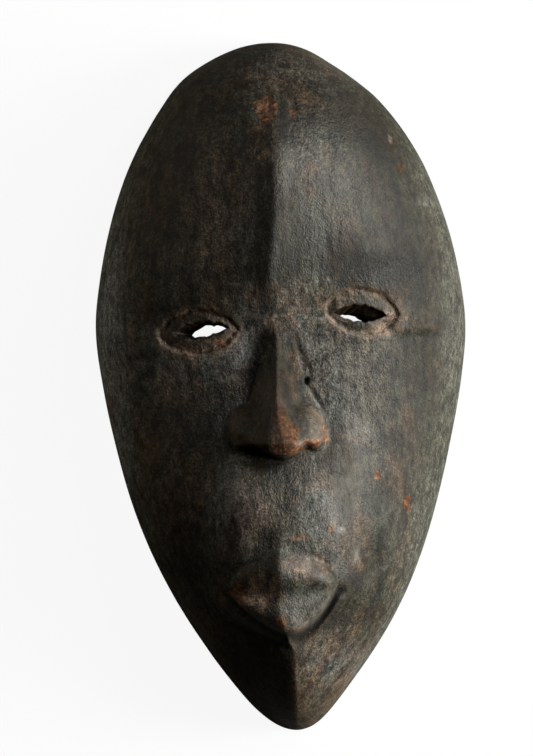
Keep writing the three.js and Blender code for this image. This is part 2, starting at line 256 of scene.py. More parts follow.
def mouthForm(x, y):
    reach = np.abs(x - mouth["x"]) / mouth["half"]
    side = np.minimum(reach, 1)
    upper = mouth["upper"] * (1 - mouth["upperSlope"] * side) * np.sqrt(1 - side ** 5)
    # the lower lip comes to its point beside the middle
    ahead = mouth["half"] - (mouth["point"] - mouth["x"]) * np.sign(x - mouth["point"])
    side = np.minimum(np.abs(x - mouth["point"]) / ahead, 1)
    lower = mouth["lower"] * (1 - side ** mouth["lowerBow"])
    up = y - mouth["y"]
    # the lips sink into the cheeks where they grow thin
    full = smoothStep(np.minimum(upper, lower), 0, 6)
    lips = mouth["upperLip"] * lipSwell(
        up / np.maximum(upper, 0.5), mouth["upperCrest"], mouth["upperEdge"],
        mouth["parting"] / mouth["upperLip"])
    lips = lips + mouth["lowerLip"] * lipSwell(
        -up / np.maximum(lower, 0.5), mouth["lowerCrest"], mouth["lowerEdge"],
        mouth["parting"] / mouth["lowerLip"])
    groove = bell(up + lower + mouth["grooveOut"], mouth["grooveWidth"])
    groove = groove * (0.35 + 0.65 * smoothStep(x - mouth["point"], -4, 1))
    out = np.abs(x - through(form["crestSway"], y))
    ridge = mouth["ridge"] * np.exp(-worn(out, 0.5) / mouth["ridgeSpread"]) * within(up, -13, 10, 4, 5)
    return lips * full + ridge - mouth["groove"] * groove * (1 - smoothStep(reach, 0.98, 1.2))


def cheekFold(x, y):
    away, part = alongLine(np.abs(x), y, fold["path"])
    fading = np.sin(math.pi * np.clip(part, 0.02, 0.98)) * np.where(x > 0, 1, 0.35)
    return -fold["depth"] * bell(away, fold["width"]) * fading


def mainCarving(x, y):
    out = x - through(form["crestSway"], y)
    socket = within(y, brow["fadeTop"], brow["bottom"], brow["fadeTop"] - brow["fadeBottom"],
                    brow["top"] - brow["bottom"])
    spread = np.where(out < 0, through(keel["leftSpread"], y), keel["spread"])
    along = within(y - 0.5 * np.abs(out), muzzle["bottom"] + muzzle["edge"], muzzle["full"],
                   muzzle["edge"], muzzle["top"] - muzzle["full"])
    beside = within(y, basin["bottom"], basin["top"], basin["end"], basin["rise"])
    beside = beside * np.where(out > 0, basin["rightShare"], 1)
    basinOut = np.where(out > 0, basin["right"], basin["left"])
    return (
        through(keel["heights"], y) * np.exp(-worn(out, through(keel["wear"], y)) / spread)
        + noseForm(out, y)
        - brow["depth"] * socket * (1 - smoothStep(np.abs(x), brow["out"], brow["end"]))
        * (1 - brow["saddle"] * bell(out - 5, 8))
        - basin["depth"] * bell(np.abs(out) - basinOut, basin["width"]) * beside
        + eyeForm(x, y) + templeForm(x, y)
        + muzzle["height"] * along * np.exp(-(np.abs(out) / muzzle["half"]) ** 5)
        + mouthForm(x, y) + cheekFold(x, y)
    )


# what the knife, time and handling have left, cut into the plain surface
marks = dict(
    knotHole=dict(x=8.2, y=1.6, halfX=0.75, halfY=1.3, depth=2.4),
    cracks=[  # points, width, depth
        ([(5.4, 16.0), (6.7, 9.9), (8.0, 3.4)], 0.45, 0.7),
        ([(7.0, 12.0), (9.4, 5.5), (9.2, 1.5)], 0.35, 0.5),
        ([(8.8, 0.2), (11.4, -4.4), (13.2, -7.8)], 0.5, 0.8),
        ([(41.0, 79.5), (41.9, 74.1), (42.6, 67.9)], 0.4, 0.6),
        ([(48.2, 57.9), (52.4, 56.8), (56.9, 54.7)], 0.45, 0.6),
    ],
    dents=[  # x, y, half width, half length, depth
        (40.7, 81.9, 1.6, 2.4, 0.7), (52.2, 60.2, 4.2, 2.4, 0.7), (42.8, 71.7, 1.0, 1.5, 0.4),
        (-1.7, 92.5, 3.0, 3.4, 0.35), (7.8, 93.9, 1.8, 1.8, 0.3), (30.6, -30.5, 1.0, 1.2, 0.4),
        (-19.5, 91.1, 1.2, 1.0, 0.3), (40.6, -40.2, 1.2, 1.6, 0.35), (17.6, -47.5, 1.6, 1.2, 0.3),
        (-19.2, 15.0, 2.6, 1.6, 0.35),
    ],
    lipLine=[(1.5, -53.6), (6.5, -54.6), (12.4, -59.0), (15.4, -65.0)], lipLineDepth=0.3,
    unevenness=0.32, fibre=0.07, aside=0.7,
)


def handWork(x, y):
    # small relief, measured from the carved surface and mostly below it
    knot = marks["knotHole"]
    away = np.hypot((x - knot["x"]) / knot["halfX"], (y - knot["y"]) / knot["halfY"])
    relief = -knot["depth"] * (1 - smoothStep(away, 0.55, 1.15)) + 0.25 * bell(away - 1.5, 0.4)
    for points, width, depth in marks["cracks"]:
        near, part = alongLine(x + 0.25 * lumps(x, y, 1.2, 1.6, 5), y, points)
        fading = np.sqrt(np.clip(np.sin(math.pi * part) + 0.15, 0, 1))
        relief = relief - depth * bell(near, width) * fading
    for dentX, dentY, halfX, halfY, depth in marks["dents"]:
        away = np.hypot((x - dentX) / halfX, (y - dentY) / halfY) + 0.35 * lumps(x, y, 1.3, 1.6, 6)
        relief = relief - depth * (1 - smoothStep(away, 0.5, 1.1))
    near, part = alongLine(x, y, marks["lipLine"])
    fading = np.sin(math.pi * np.clip(part, 0.03, 0.97))
    relief = relief - marks["lipLineDepth"] * bell(near, 0.8) * fading
    for eye in eyes:
        ring = almond(x - marks["aside"], y, eye)
        frayed = lumps(x, y, 1.3, 0.8, 7) + 0.7 * lumps(x, y, 0.7, 0.5, 8)
        nearEdge = bell(ring - 1.0, 0.22) + 0.5 * bell(ring - 0.35, 0.3)
        relief = relief + lid["rough"] * frayed * nearEdge
    broad = lumps(x, y, 17, 26, 1) + 0.55 * lumps(x, y, 8, 13, 2) + 0.25 * lumps(x, y, 3.6, 6, 3)
    return relief + marks["unevenness"] * broad + marks["fibre"] * lumps(x, y, 1.7, 16, 4)


def faceHeight(x, y, detailed=True):
    angle = np.arccos(np.clip(y / (maskHeight / 2), -1, 1))
    _, middle, half = outlineAt(angle)
    share = np.where(half > 1e-6, (x - middle) / np.maximum(half, 1e-6), 1)
    relief = mainCarving(x / stretchX, y / stretchY)
    if detailed:
        relief = relief + handWork(x / stretchX + marks["aside"], y / stretchY)
    fade = (1 - smoothStep(np.abs(share), 0.8, 1)) * smoothStep(np.sin(angle), 0, 0.2)
    return domeHeight(share, angle, form["faceDepth"]) + relief * fade


def insetOutline(angle, inset):
    # right-hand outline set in by a distance: its height up the face, middle and half width
    step = 0.004
    y0, _, w0 = outlineAt(np.clip(angle - step, 0, math.pi))
    y1, _, w1 = outlineAt(np.clip(angle + step, 0, math.pi))
    length = np.hypot(w1 - w0, y1 - y0)
    y, middle, half = outlineAt(angle)
    return y - inset * (w1 - w0) / length, middle, np.maximum(half + inset * (y1 - y0) / length, 0)


def hollowHeight(share, x, y, angle):
    along = within(y / stretchY, recess["full"], recess["top"], recess["full"] - recess["bottom"],
                   recess["end"] - recess["top"])
    deeper = recess["depth"] * bell(x / stretchX, recess["width"]) * along
    deeper = deeper * np.sqrt(np.maximum(1 - np.abs(share), 0))
    return domeHeight(share, angle, form["faceDepth"] - form["wall"]) + deeper


# rows and columns of the mesh are spread by the length of the surface, closer on fine carving
grid = dict(faceRows=316, faceColumns=236, hollowRows=112, hollowColumns=136)


def spread(places, weights, count):
    total = np.concatenate([[0], np.cumsum(weights)])
    return np.interp(np.linspace(0, total[-1], count + 1), total, places)


def rowAngles(count, fine):
    angles = np.linspace(0, math.pi, 4001)
    y = maskHeight / 2 * np.cos(angles)
    z = form["faceDepth"] * through(depthShares, angles)
    middle = (y[1:] + y[:-1]) / 2
    weight = 1 + fine * (0.9 * within(middle, -92, 34, 10, 12) + 3 * within(middle, -25, -19, 2, 2))
    return spread(angles, np.hypot(np.diff(y), np.diff(z)) * weight, count)


def columnPlaces(angle, count, fine, inset):
    # x of each column on one row, from rim to crest to rim
    y, middle, half = insetOutline(angle, inset) if inset else outlineAt(angle)
    crest = 0.0
    if half > 1:
        sway = float(through(form["crestSway"], y / stretchY)) * stretchX - middle
        crest = sway * float(smoothStep(np.sin(angle), 0, 0.2)) / half
    sides = []
    for end in (-1, 1):
        share = np.linspace(crest, end, 500)
        z = domeHeight(share, angle, form["faceDepth"])
        x = half * share
        closer = 1 + fine * (1 - smoothStep(np.abs((x[1:] + x[:-1]) / 2), 40, 52))
        sides.append(spread(share, np.hypot(np.diff(x), np.diff(z)) * closer + 1e-9, count // 2))
    return np.concatenate([sides[0][::-1], sides[1][1:]])


def slitHalfOpening(x, centre, length, opening):
    return opening / 2 * np.clip(1 - ((x - centre) / (length / 2)) ** 2, 0, 1)


def openSlit(x, y, eye, inner):
    # parts the mesh rows at one eye: returns the row, its end columns, moved rows and the lower edge
    centreX, centreY = (eye["innerX"], eye["innerY"]) if inner else (eye["slitX"], eye["slitY"])
    length = eye["innerLength"] if inner else lid["slitLength"]
    opening = eye["innerOpening"] if inner else eye["slitOpening"]
    rowHeights = y[:, y.shape[1] // 2]
    row = int(np.argmin(np.abs(rowHeights - centreY)))
    first = int(np.argmin(np.abs(x[row] - (centreX - length / 2))))
    last = int(np.argmin(np.abs(x[row] - (centreX + length / 2))))
    middle, span = (x[row, first] + x[row, last]) / 2, x[row, last] - x[row, first]
    slope = math.tan(math.radians(eye["slitTilt"]))
    away = y - rowHeights[row]
    near = 1 - smoothStep(np.abs(away), 0, 11)
    beside = 1 - smoothStep(np.abs(x - middle) - span / 2, 0, 9)
    shift = (centreY + slope * (x - centreX) - rowHeights[row]) * beside * near
    half = slitHalfOpening(x, middle, span, opening)
    ragged = 1 + 0.18 * lumps(x, y, 1.4, 40, 11) + (0.25 if inner else 0.12) * lumps(x, y, 0.8, 40, 12)
    below = ragged * (1 - eye["step"] * smoothStep(x, eye["ledge"] - 0.4, eye["ledge"] + 0.4) * inner)
    part = np.where(np.arange(len(y))[:, None] <= row, ragged, -below) * half * near
    lower = (y + shift)[row, first:last + 1] - (half * below)[row, first:last + 1]
    return row, first, last, y + shift + part, lower


def closedSlitLoop(upperRow, lowerRow):
    # vertex numbers round a slit and how far round each is
    loop = list(upperRow) + list(lowerRow[::-1][1:-1])
    count = len(upperRow) - 1
    parts = [k / count / 2 for k in range(count + 1)] + [0.5 + k / count / 2 for k in range(1, count)]
    return loop, parts


def stitch(faces, a, partsA, b, partsB):
    # triangles between two closed loops of any two counts
    i = j = 0
    countA, countB = len(a), len(b)
    while i < countA or j < countB:
        nextA = partsA[i + 1] if i + 1 < countA else 1.0
        nextB = partsB[j + 1] if j + 1 < countB else 1.0
        if j >= countB or (i < countA and nextA <= nextB):
            faces.append((a[i % countA], a[(i + 1) % countA], b[j % countB]))
            i += 1
        else:
            faces.append((a[i % countA], b[(j + 1) % countB], b[j % countB]))
            j += 1


class Sheet:
    # one surface as rows and columns of vertices, with its poles closed and its slits parted
    def __init__(self, points, x, y, z):
        rows, columns = x.shape
        self.index = np.arange(rows * columns).reshape(rows, columns) + sum(len(p) for p in points)
        self.index[0, :] = self.index[0, 0]
        self.index[-1, :] = self.index[-1, 0]
        points.append(np.column_stack([x.ravel(), y.ravel(), z.ravel()]))
        self.top = self.index.copy()  # upper edge of the faces below each row
        self.loops = []

    def part(self, points, row, first, last, x, y, z):
        start = sum(len(p) for p in points)
        points.append(np.column_stack([x[1:-1], y[1:-1], z[1:-1]]))
        lower = np.concatenate([
            [self.index[row, first]], np.arange(start, start + len(x) - 2), [self.index[row, last]]])
        self.top[row, first:last + 1] = lower
        self.loops.append(closedSlitLoop(self.index[row, first:last + 1], lower))

    def faces(self, inwards):
        a, b = self.top[:-1, :-1], self.index[1:, :-1]
        c, d = self.index[1:, 1:], self.top[:-1, 1:]
        quads = np.stack([a, b, c, d], axis=-1).reshape(-1, 4)
        quads = quads[:, ::-1] if inwards else quads
        found = []
        for quad in quads.tolist():
            corners = [v for k, v in enumerate(quad) if v != quad[k - 1]]
            found.append(tuple(corners))
        return found

    def rimLoop(self):
        rows = len(self.index)
        right = [int(self.index[j, -1]) for j in range(rows)]
        left = [int(self.index[j, 0]) for j in range(rows - 2, 0, -1)]
        return right + left


def carvedMesh():
    points, faces = [], []
    angles = rowAngles(grid["faceRows"], 1)
    shares = np.array([columnPlaces(a, grid["faceColumns"], 0.45, 0) for a in angles])
    y, middle, half = [value[:, None] for value in outlineAt(angles)]
    x = middle + half * shares
    y = np.repeat(y, x.shape[1], axis=1)
    slits = []
    for eye in eyes:
        row, first, last, y, lower = openSlit(x, y, eye, False)
        slits.append((row, first, last, lower))
    z = np.maximum(faceHeight(x, y), form["edgeRound"])
    face = Sheet(points, x, y, z)
    for row, first, last, lower in slits:
        across = x[row, first:last + 1]
        face.part(points, row, first, last, across, lower, faceHeight(across, lower))

    hollowAngles = rowAngles(grid["hollowRows"], 0)
    hollowShares = np.array(
        [columnPlaces(a, grid["hollowColumns"], 1.3, form["rim"]) for a in hollowAngles])
    hy, hMiddle, hHalf = [value[:, None] for value in insetOutline(hollowAngles, form["rim"])]
    hx = hMiddle + hHalf * hollowShares
    hy = np.repeat(hy, hx.shape[1], axis=1)
    innerSlits = []
    for eye in eyes:
        row, first, last, hy, lower = openSlit(hx, hy, eye, True)
        innerSlits.append((row, first, last, lower))

    def under(px, py, share):
        angle = np.arccos(np.clip(py / (maskHeight / 2 - form["rim"]), -1, 1))
        return np.maximum(hollowHeight(share, px, py, angle), form["edgeRound"])

    hollow = Sheet(points, hx, hy, under(hx, hy, hollowShares))
    for row, first, last, lower in innerSlits:
        across = hx[row, first:last + 1]
        hollow.part(points, row, first, last, across, lower,
                    under(across, lower, hollowShares[row, first:last + 1]))
    faces += face.faces(False) + hollow.faces(True)
    print("face and hollow laid out,", sum(len(p) for p in points), "points")

    # walls of the eyes: rounded at the face, then narrowing to the hollow
    everyPoint = np.concatenate(points)
    wallStart = len(everyPoint)
    rings = [(0.12, 0.25), (0.34, 0.7), (0.5, 1.6), (None, 0.35), (None, 0.7)]
    added = []
    for (outer, outerParts), (inner, innerParts) in zip(face.loops, hollow.loops):
        edge, back = everyPoint[outer], everyPoint[inner]
        centre = edge.mean(axis=0)
        wrapped = np.concatenate([back, back[:1]])
        target = np.column_stack([
            np.interp(outerParts, list(innerParts) + [1.0], wrapped[:, k]) for k in range(3)])
        previous = outer
        for inwards, down in rings:
            if inwards is None:
                spot = edge + (target - edge) * down
                rough = lumps(edge[:, 0] + 7 * down, edge[:, 1], 0.9, 1.1, 21) * 0.22
                spot[:, 1] += rough
            else:
                flat = centre - edge
                flat[:, 2] = 0
                flat[:, 0] *= 0.35
                reach = np.maximum(np.linalg.norm(flat, axis=1, keepdims=True), 1e-6)
                spot = edge + flat / reach * np.minimum(inwards, reach * 0.6)
                spot[:, 2] -= down
            start = wallStart + sum(len(p) for p in added)
            added.append(spot)
            ring = list(range(start, start + len(spot)))
            count = len(ring)
            faces += [(previous[k], previous[(k + 1) % count], ring[(k + 1) % count], ring[k])
                      for k in range(count)]
            previous = ring
        stitch(faces, previous, outerParts, inner, innerParts)

    wallEnd = wallStart + sum(len(p) for p in added)

    # the rim that the mask lies on, with both its edges worn round
    outer = face.rimLoop()
    inner = hollow.rimLoop()
    circle = np.concatenate([angles, 2 * math.pi - angles[-2:0:-1]])
    innerCircle = np.concatenate([hollowAngles, 2 * math.pi - hollowAngles[-2:0:-1]])
    folded = np.where(circle > math.pi, 2 * math.pi - circle, circle)
    side = np.where(circle > math.pi, -1, 1)
    previous = outer
    r = form["edgeRound"]
    for inset, height in [(0.12 * r, 0.5 * r), (0.45 * r, 0.14 * r), (r, 0), (form["rim"] / 2, 0),
                          (form["rim"] - r, 0), (form["rim"] - 0.4 * r, 0.14 * r)]:
        ry, rMiddle, rHalf = insetOutline(folded, inset)
        start = wallStart + sum(len(p) for p in added)
        rx = rMiddle + side * rHalf
        added.append(np.column_stack([rx, ry, np.full(len(rx), float(height))]))
        ring = list(range(start, start + len(rx)))
        count = len(ring)
        faces += [(previous[k], ring[k], ring[(k + 1) % count], previous[(k + 1) % count])
                  for k in range(count)]
        previous = ring
    parts, innerParts = list(circle / (2 * math.pi)), list(innerCircle / (2 * math.pi))
    stitch(faces, previous, parts, inner, innerParts)
    return np.concatenate([everyPoint] + added), faces, len(face.index.ravel()), (wallStart, wallEnd)


def spots(x, y, places, seed):
    # soft ragged patches: x, y, half width, half length, strength
    total = np.zeros(np.shape(x))
    for sx, sy, halfX, halfY, strength in places:
        away = np.hypot((x - sx) / halfX, (y - sy) / halfY)
        away = away + 0.4 * lumps(x, y, halfX * 0.5, halfY * 0.5, seed)
        total = np.maximum(total, strength * (1 - smoothStep(away, 0.35, 1.15)))
    return total


# patches where the patina has gone or differs, with painted shade among the soot and painted highlights
# among the light ones: x, y, half width, half length, strength
patches = dict(
    rubbed=[
        (-1.2, -9, 3.4, 6, 1.1), (0.2, -16, 6, 7, 1.2), (2.5, -20, 8.5, 3.4, 1.1),
        (13.8, -17, 2.4, 4.5, 0.65), (9, -19, 5, 3, 0.6), (-9, -19.5, 6.5, 2.8, 0.55),
        (-2.2, 92.6, 4.4, 5, 1.4), (7.6, 91.2, 1.7, 2.4, 0.9), (14.5, -47, 1.2, 1.8, 0.8),
        (2.7, -36.6, 1.3, 1.4, 0.9), (43.2, 71.9, 1.6, 3, 0.9), (40.9, 81.6, 1.8, 3, 1.1),
        (-19.5, 91.1, 1.6, 1.2, 0.55), (-3, 84, 4.5, 6, 0.3), (30.6, -30.5, 1.6, 2.6, 1.2),
        (40.4, -40.7, 1.9, 3.4, 1), (-17.4, -67, 3.8, 4.6, 1), (-3.4, -77.2, 2.4, 4, 0.65),
        (-19.2, 15.2, 3.2, 1.8, 0.6), (2.6, -49.4, 4.5, 1.4, 0.9), (-1.8, -57, 1.2, 5.5, 0.45),
        (-38.5, 51, 3, 9, 0.22),
    ],
    brown=[
        (31, 16, 9, 2.6, 0.9), (-10, -67, 9, 9, 0.8), (23.6, -59, 2.6, 4.4, 1),
        (3, 5.5, 5.5, 15, 0.8), (-12, -4, 8, 9, 0.5), (-25, 60, 22, 34, 0.35),
        (-36, -20, 13, 30, 0.3), (13.5, 94.4, 5, 5, 0.4), (-4, 82, 5, 9, 0.8),
        (12.8, 71.5, 3.5, 3, 0.7), (-8, -14, 7, 8, 0.7), (-2.7, 21, 4.5, 4, 0.5),
        (47.2, 20.1, 6.5, 4.5, 0.55), (-33.8, -33.5, 7, 14, 0.35), (5, -59, 9, 5, 1),
        (-0.5, -2, 3, 9, 0.9), (-2, -77.5, 3, 4, 0.6), (2.5, -96, 9, 18, 0.3),
        (30, 23, 15, 10, 0.3), (-27, 18, 15, 9, 0.3), (0, 100, 14, 9, 0.25),
        (22, -60, 2.4, 3.4, 0.8), (-8, -40, 12, 16, 0.25),
    ],
    # light dust, flecks and wear, and painted highlights on the nose tip, the lips and the right cheek
    paleAndHighlight=[
        (6.5, -18.4, 3, 1.4, 0.7), (31, 16, 8, 1.8, 0.15), (-2, 93.6, 2.4, 2.6, 0.5),
        (52, 60.4, 4.4, 1.5, 0.5), (17.6, -47.5, 1.8, 1.2, 0.8), (5.5, -58, 5.5, 2.6, 0.35),
        (24, -2, 7, 13, 0.35), (25, -16, 5, 7, 0.4), (14, -36, 12, 14, 0.22), (8, -72, 6, 8, 0.3),
        (2, -77, 4.5, 3.4, 0.6), (3.5, -75.6, 6, 3.6, 0.45), (14.2, 21.9, 1.6, 1.1, 0.9),
        (17, 34.6, 0.5, 1.1, 0.9), (22.6, -56.5, 1.4, 4.5, 0.35), (40.4, 82.2, 0.9, 1.6, 0.7),
        (30.3, -29.8, 1.1, 1.6, 0.7), (1.6, -49.3, 4, 0.9, 0.5), (23, -10, 4, 8, 0.25),
        (27, 4, 2, 4, 0.35), (-13.7, 34.3, 2.4, 0.5, 0.5), (-26.5, 11.4, 7, 0.7, 0.45),
        (36.5, 15.8, 5, 0.8, 0.3),
    ],
    matt=[
        (27, 42, 20, 10, 1), (3, 50, 7, 22, 0.7), (17, -28, 7, 16, 0.8), (2, 8, 7, 18, 1.7),
        (1, -14, 10, 10, 1.3), (1, -85, 7, 6, 1.5), (13, -76, 8, 8, 1.2), (15.5, -68, 5, 4, 1.2),
    ],
    # soot, and painted shade over the right brow and in the right cheek fold
    sootAndShade=[
        (-3.5, 58, 4.5, 26, 1), (-5.5, 34, 3.2, 16, 0.8), (-12, 64, 12, 26, 0.45),
        (-8, -2, 3.5, 16, 0.6), (4.5, 90, 4.5, 9, 0.9), (-10, 88, 8, 12, 0.4),
        (-3, -98, 4, 16, 0.5), (-32, 60, 9, 26, 0.3), (-22, -12, 9, 12, 0.35),
        (25, 42, 17, 8, 0.5), (4.5, 2, 3.5, 13, 0.35), (27.5, -59, 2.4, 3.6, 0.5),
        (-30, -60, 14, 24, 0.5), (22, 92, 7, 10, 0.4), (-11, -66, 9, 12, 0.3),
    ],
)


# painted light and shade, with some real lighter and darker patina: x, y, half width, half length, how
# much lighter
patinaToneAndPaintedShading = [
    # forehead
    (9, 79, 12, 8, 1.0), (31, 88, 14, 20, -0.3), (33, 85, 12, 22, -0.3), (4, 50, 7, 19, -0.5),
    (-3, 60, 4.5, 20, -0.5), (6, 106, 16, 8, 0.4), (8, 92, 14, 9, -0.3), (-2, 93, 4, 5, 1.3),
    (-8, 56, 6, 10, 0.5), (0, 82, 5, 5, -0.3), (6, 85, 8, 4, -0.3), (-1, 110, 9, 5, 0.7),
    (27, 45, 18, 9, -0.3), (22, 40, 20, 7, -0.45), (31, 62, 8, 12, -0.15),
    (16, 47, 12, 8, 0.15), (37, 77, 9, 8, -0.12),
    # brow and eyes
    (3.5, 25, 5, 10, 1.1), (11, 35, 8, 9, 0.3), (25, 11, 10, 7, 0.45), (-8, 22, 6, 11, 1.8),
    (-15, 31, 5, 6, -0.4), (-28, 8, 14, 9, 1.4), (-14, 13, 6, 11, 1.3), (36, 21, 7, 4.5, 1.5),
    (38, 35, 8, 6, -0.3), (-4, 36, 4, 12, -0.4), (30, 36, 8, 4, -0.3), (2, 30.5, 6, 5, 0.25),
    (23.5, 29.5, 4, 3.5, 0.3), (-20, 15.5, 5, 4, -0.3), (-44, 8, 9, 9, 0.5),
    (28, 45, 10, 6, 0.15), (40, 13, 6, 6, 0.18), (22, 13, 6, 6, 0.12),
    # nose
    (13, 0, 8, 24, 1.2), (2, 4, 5, 17, -0.8), (-14, -3, 7, 7, -0.5), (-11, -15, 6, 6, -0.4),
    (15.5, -15, 3, 6, 0.6), (11.5, -15, 5, 5, -0.45), (-4, -26, 8, 4, -0.65),
    (0, -1, 3.5, 8, -0.3), (-2, -18, 5, 3.5, -0.3), (13, -18.5, 4, 3.5, 0.25),
    (5.5, 6.5, 3, 6, 0.2), (5, -9, 3, 4, -0.2),
    # cheeks and muzzle
    (22, 0, 9, 14, 0.5), (11, -40, 8, 15, 1.5), (-16, -40, 9, 14, 1.0), (-23, -37, 9, 15, 0.9),
    (17, -30, 5, 14, -0.5), (17, -34, 6, 12, -0.25), (-36, -18, 14, 24, 0.35),
    (-6, -28, 8, 14, -0.35), (-13, -27, 7, 6, -0.4), (8, -38, 5, 12, 0.4), (-17, -38, 7, 16, 0.8),
    (-22.5, -40, 5, 5, 0.5), (31, -26, 4, 9, 0.4), (24, -8, 8, 10, 0.2), (20, -2, 7, 10, 0.1),
    (21.5, -18, 4, 6, -0.12), (-13.5, -32, 5, 5, -0.2), (12, -33, 5, 5, -0.12),
    # mouth
    (-10, -71, 9, 7, 1.2), (4, -60, 6, 4, 0.5), (14, -72, 6, 6, -0.3), (24, -68, 9, 17, -0.35),
    (18, -62, 4, 5, -0.3), (-4, -68, 3, 4, -0.35), (-6, -65, 4, 4, -0.25), (-4.5, -79, 3, 3, 0.9),
    (2, -77, 5, 4, 0.35), (11.5, -57.5, 4.5, 4.5, -0.12), (3, -81.5, 5, 3.5, -0.15),
    # chin
    (14, -93, 13, 9, 1.1), (-15, -92, 12, 16, -0.75), (2.5, -87.5, 3, 3, -0.3),
    (23, -89, 5, 8, -0.3), (-5, -106, 5, 8, -0.4),
    # flanks
    (-57, 20, 7, 46, 1.6), (44, 36, 12, 60, -0.45), (-61, 8, 5, 60, 0.8), (-48, 40, 12, 50, 0.25),
    (49, 10, 5, 40, -0.25), (-38, -56, 10, 18, -0.3),
]


# painted shadow in the grooves round the lower lip, and a charred scar: points, half width, strength
blackScarAndShadowLines = [
    ([(15.2, -68.2), (10.6, -75.8), (6.2, -80.0), (0.5, -83.5)], 1.5, 1.0),
    ([(8.0, -78.6), (4.4, -81.4), (0.6, -83.2)], 1.9, 1.0),
    ([(3.4, 96.0), (4.2, 90.0), (3.9, 85.5)], 1.5, 0.7),
    ([(-21.0, -68.5), (-14.7, -75.6), (-6.0, -82.0), (0.0, -84.0)], 1.1, 0.8),
]


# lines darkened as painted shadow under the nose, in the right cheek fold and round the lips, and a
# dark line left of the forehead ridge: points, half width, strength
sootAndShadowLines = [
    ([(14.6, -70.4), (9.4, -78.0), (5.2, -81.6), (0.8, -84.2)], 1.6, 1.0),
    ([(29.5, -52.0), (28.5, -58.0), (25.5, -63.0), (21.0, -65.5)], 2.0, 0.5),
    ([(-13.0, -20.5), (-6.0, -23.6), (0.0, -27.5)], 2.4, 0.8),
    ([(-1.0, -68.4), (7.0, -68.0), (13.5, -68.4)], 1.3, 0.35),
    ([(-1.6, 80.0), (-1.8, 58.0), (-4.6, 38.0), (-4.6, 26.0)], 3.0, 0.9),
]


def addValues(mesh, name, values):
    mesh.attributes.new(name, "FLOAT", "POINT").data.foreach_set("value", values.astype(np.float32))


def makeMaskMesh():
    places, faces, faceCount, (wallStart, wallEnd) = carvedMesh()
    x, y, z = places.T
    # stay inside the frame's box
    places[:, 0] = np.clip(x, boxLow[0] + 0.01, boxHigh[0] - 0.01)
    places[:, 2] = np.minimum(z, boxHigh[2] - 0.02)
    mesh = bpy.data.meshes.new("carvedMask")
    mesh.from_pydata((places * mm).tolist(), [], faces)
    onFace = np.zeros(len(places))
    onFace[:faceCount] = 1
    onWall = np.zeros(len(places))
    onWall[wallStart:wallEnd] = 1
    drawnX, drawnY = x / stretchX, y / stretchY
    _, middle, half = outlineAt(np.arccos(np.clip(y / (maskHeight / 2), -1, 1)))
    share = np.abs(x - middle) / np.maximum(half, 1)
    # hollows and crests of the carving, from its height against the mean around it; the hollows are
    # painted dark as shade, most round the mouth and least beside the nose
    high = faceHeight(x, y, False)
    step = 1.6
    around = sum(faceHeight(x + dx, y + dy, False)
                 for dx, dy in [(step, 0), (-step, 0), (0, step), (0, -step)])
    bend = (around / 4 - high) * onFace * (1 - smoothStep(share, 0.82, 0.92))
    deepest = 0.35 + 0.65 * smoothStep(-drawnY, 55, 62)
    beside = bell(drawnX / 18, 1) * bell((drawnY - 14) / 16, 1)
    deep = np.clip(bend / 0.5, 0, 1) * deepest * (1 - 0.85 * beside)
    for points, width, strength in blackScarAndShadowLines:
        near, _ = alongLine(drawnX, drawnY + 0.3 * lumps(drawnX, drawnY, 1.2, 1.2, 27), points)
        deep = np.maximum(deep, strength * bell(near, width) * onFace)
    for k, (name, listed) in enumerate(patches.items()):
        amount = spots(drawnX + marks["aside"], drawnY, listed, 31 + k)
        if name == "brown":
            for eye in eyes:
                amount = np.maximum(amount, 0.9 * bell(almond(drawnX, drawnY, eye) - 0.95, 0.22))
        if name in ("paleAndHighlight", "rubbed"):
            amount = amount * (1 - deep)
        if name == "sootAndShade":
            for points, width, strength in sootAndShadowLines:
                near, _ = alongLine(drawnX, drawnY, points)
                amount = np.maximum(amount, strength * bell(near, width))
        if name == "matt":
            amount = np.maximum(amount, smoothStep(share, 0.35, 0.75))
        # the eye walls are painted dark as shade inside the holes, and given some bare wood
        addValues(mesh, name, amount * onFace + dict(sootAndShade=0.95, rubbed=0.42).get(name, 0) * onWall)
    # painted light and shade: a colour factor per point from the areas above, halved on the eye walls
    # to darken them as painted shade
    shade = 1 + sum(strength * bell((drawnX - sx) / halfX, 1) * bell((drawnY - sy) / halfY, 1)
                    for sx, sy, halfX, halfY, strength in patinaToneAndPaintedShading)
    addValues(mesh, "toneAndPaintedShading", np.clip(shade, 0.12, 4) * (1 - 0.5 * onWall))
    addValues(mesh, "flank", smoothStep(share, 0.72, 0.97) * onFace)
    addValues(mesh, "groove", deep)
    crest = np.clip(-bend / 0.45, 0, 1) * (1 - deep)
    addValues(mesh, "crest", crest * (1 - 0.6 * bell(drawnY + 72, 16)))  # the lips are worn less
    addValues(mesh, "hollow", 1 - onFace - onWall)
    mesh.update()
    mesh.validate()
    obj = bpy.data.objects.new("mask_carving", mesh)
    bpy.context.scene.collection.objects.link(obj)
    work = bmesh.new()
    work.from_mesh(mesh)
    bmesh.ops.delete(work, geom=[v for v in work.verts if not v.link_faces], context="VERTS")
    bmesh.ops.recalc_face_normals(work, faces=work.faces)
    if work.calc_volume(signed=True) < 0:
        bmesh.ops.reverse_faces(work, faces=work.faces)
    openEdges = sum(1 for e in work.edges if len(e.link_faces) != 2)
    work.to_mesh(mesh)
    print("mesh of", len(mesh.vertices), "points, open edges:", openEdges,
          "volume cm3", round(work.calc_volume() * 1e6, 1))
    work.free()
    mesh.shade_smooth()
    return obj


maskPiece = makeMaskMesh()


